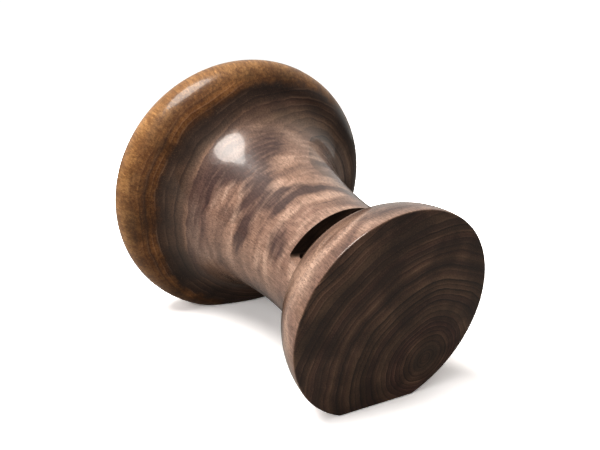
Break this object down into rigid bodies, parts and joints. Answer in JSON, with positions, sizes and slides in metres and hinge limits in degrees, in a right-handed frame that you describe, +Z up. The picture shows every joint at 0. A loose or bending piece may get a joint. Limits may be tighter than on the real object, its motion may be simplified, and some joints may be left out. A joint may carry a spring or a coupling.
{
  "type": "passive phone amplifier",
  "caption": "Turned walnut desk horn: a phone stands in a slot behind the back disc and its sound leaves through a flared bell.",
  "frame": {"origin": "middle of the object's box, on the surface that it stands on", "axes": "+Z up; +X from the back disc towards the bell; the object is symmetric about the XZ plane"},
  "size_m": [0.1798, 0.1558, 0.1487],
  "materials": {
    "walnut": "oiled satin, solid turned walnut",
    "foot_felt": "dense dark felt"
  },
  "bodies": {
    "root": {"horn_body": "walnut", "back_left_foot": "foot_felt", "back_right_foot": "foot_felt", "front_left_foot": "foot_felt", "front_right_foot": "foot_felt"}
  },
  "joints": []
}
